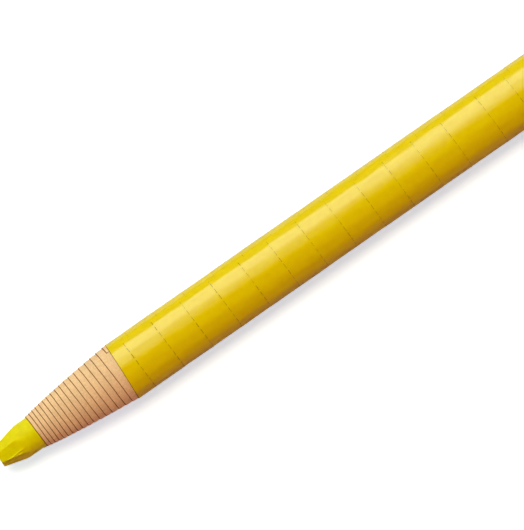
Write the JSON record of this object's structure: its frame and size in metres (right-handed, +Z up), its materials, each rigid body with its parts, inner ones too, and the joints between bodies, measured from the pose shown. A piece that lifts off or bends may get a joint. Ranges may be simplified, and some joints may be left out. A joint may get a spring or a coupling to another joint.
{
  "type": "china marker",
  "caption": "Peel-off china marker: a whittled wax core in a rolled paper barrel with a stepped paper nose, a yellow label and slit peel rows.",
  "frame": {"origin": "middle of the marker's length, on the plane it lies on, under the barrel's axis", "axes": "+X along the barrel from the writing tip to the butt end, +Y across it, +Z up to the side that the picture shows"},
  "size_m": [0.1714, 0.0086, 0.0087],
  "materials": {
    "wax": "waxy, knife-cut facets at the tip",
    "kraft_paper": "tan kraft paper, tightly rolled, cut edges darker",
    "label_print": "yellow printed label under a gloss coat",
    "cotton": "undyed cotton string"
  },
  "bodies": {
    "marker": {"wax_core": "wax", "pull_string": "cotton", "band_02": "kraft_paper", "band_03": "kraft_paper", "band_04": "kraft_paper", "band_05": "kraft_paper", "band_06": "kraft_paper", "band_07": "kraft_paper", "band_08": "kraft_paper", "band_09": "kraft_paper", "band_10": "kraft_paper", "band_11": "kraft_paper", "band_12": "kraft_paper", "band_13": "kraft_paper", "band_14": "kraft_paper", "band_15": "kraft_paper", "band_16": "kraft_paper", "band_17": "kraft_paper", "band_18": "kraft_paper", "band_19": "kraft_paper", "band_20": "kraft_paper", "band_21": "kraft_paper", "band_22": "kraft_paper", "band_23": "kraft_paper", "band_24": "kraft_paper", "band_25": "kraft_paper", "band_26": "kraft_paper", "band_27": "kraft_paper", "rear_band": "kraft_paper", "label_02": "label_print", "label_03": "label_print", "label_04": "label_print", "label_05": "label_print", "label_06": "label_print", "label_07": "label_print", "label_08": "label_print", "label_09": "label_print", "label_10": "label_print", "label_11": "label_print", "label_12": "label_print", "label_13": "label_print", "label_14": "label_print", "label_15": "label_print", "label_16": "label_print", "label_17": "label_print", "label_18": "label_print", "label_19": "label_print", "label_20": "label_print", "label_21": "label_print", "label_22": "label_print", "label_23": "label_print", "label_24": "label_print", "label_25": "label_print", "label_26": "label_print", "label_27": "label_print", "rear_label": "label_print"},
    "nose": {"nose_band": "kraft_paper", "nose_label": "label_print"}
  },
  "joints": [
    {"name": "nose_band_peel", "type": "slide", "parent": "marker", "child": "nose", "axis": [-1, 0, 0], "range_m": [0, 0.03]}
  ]
}
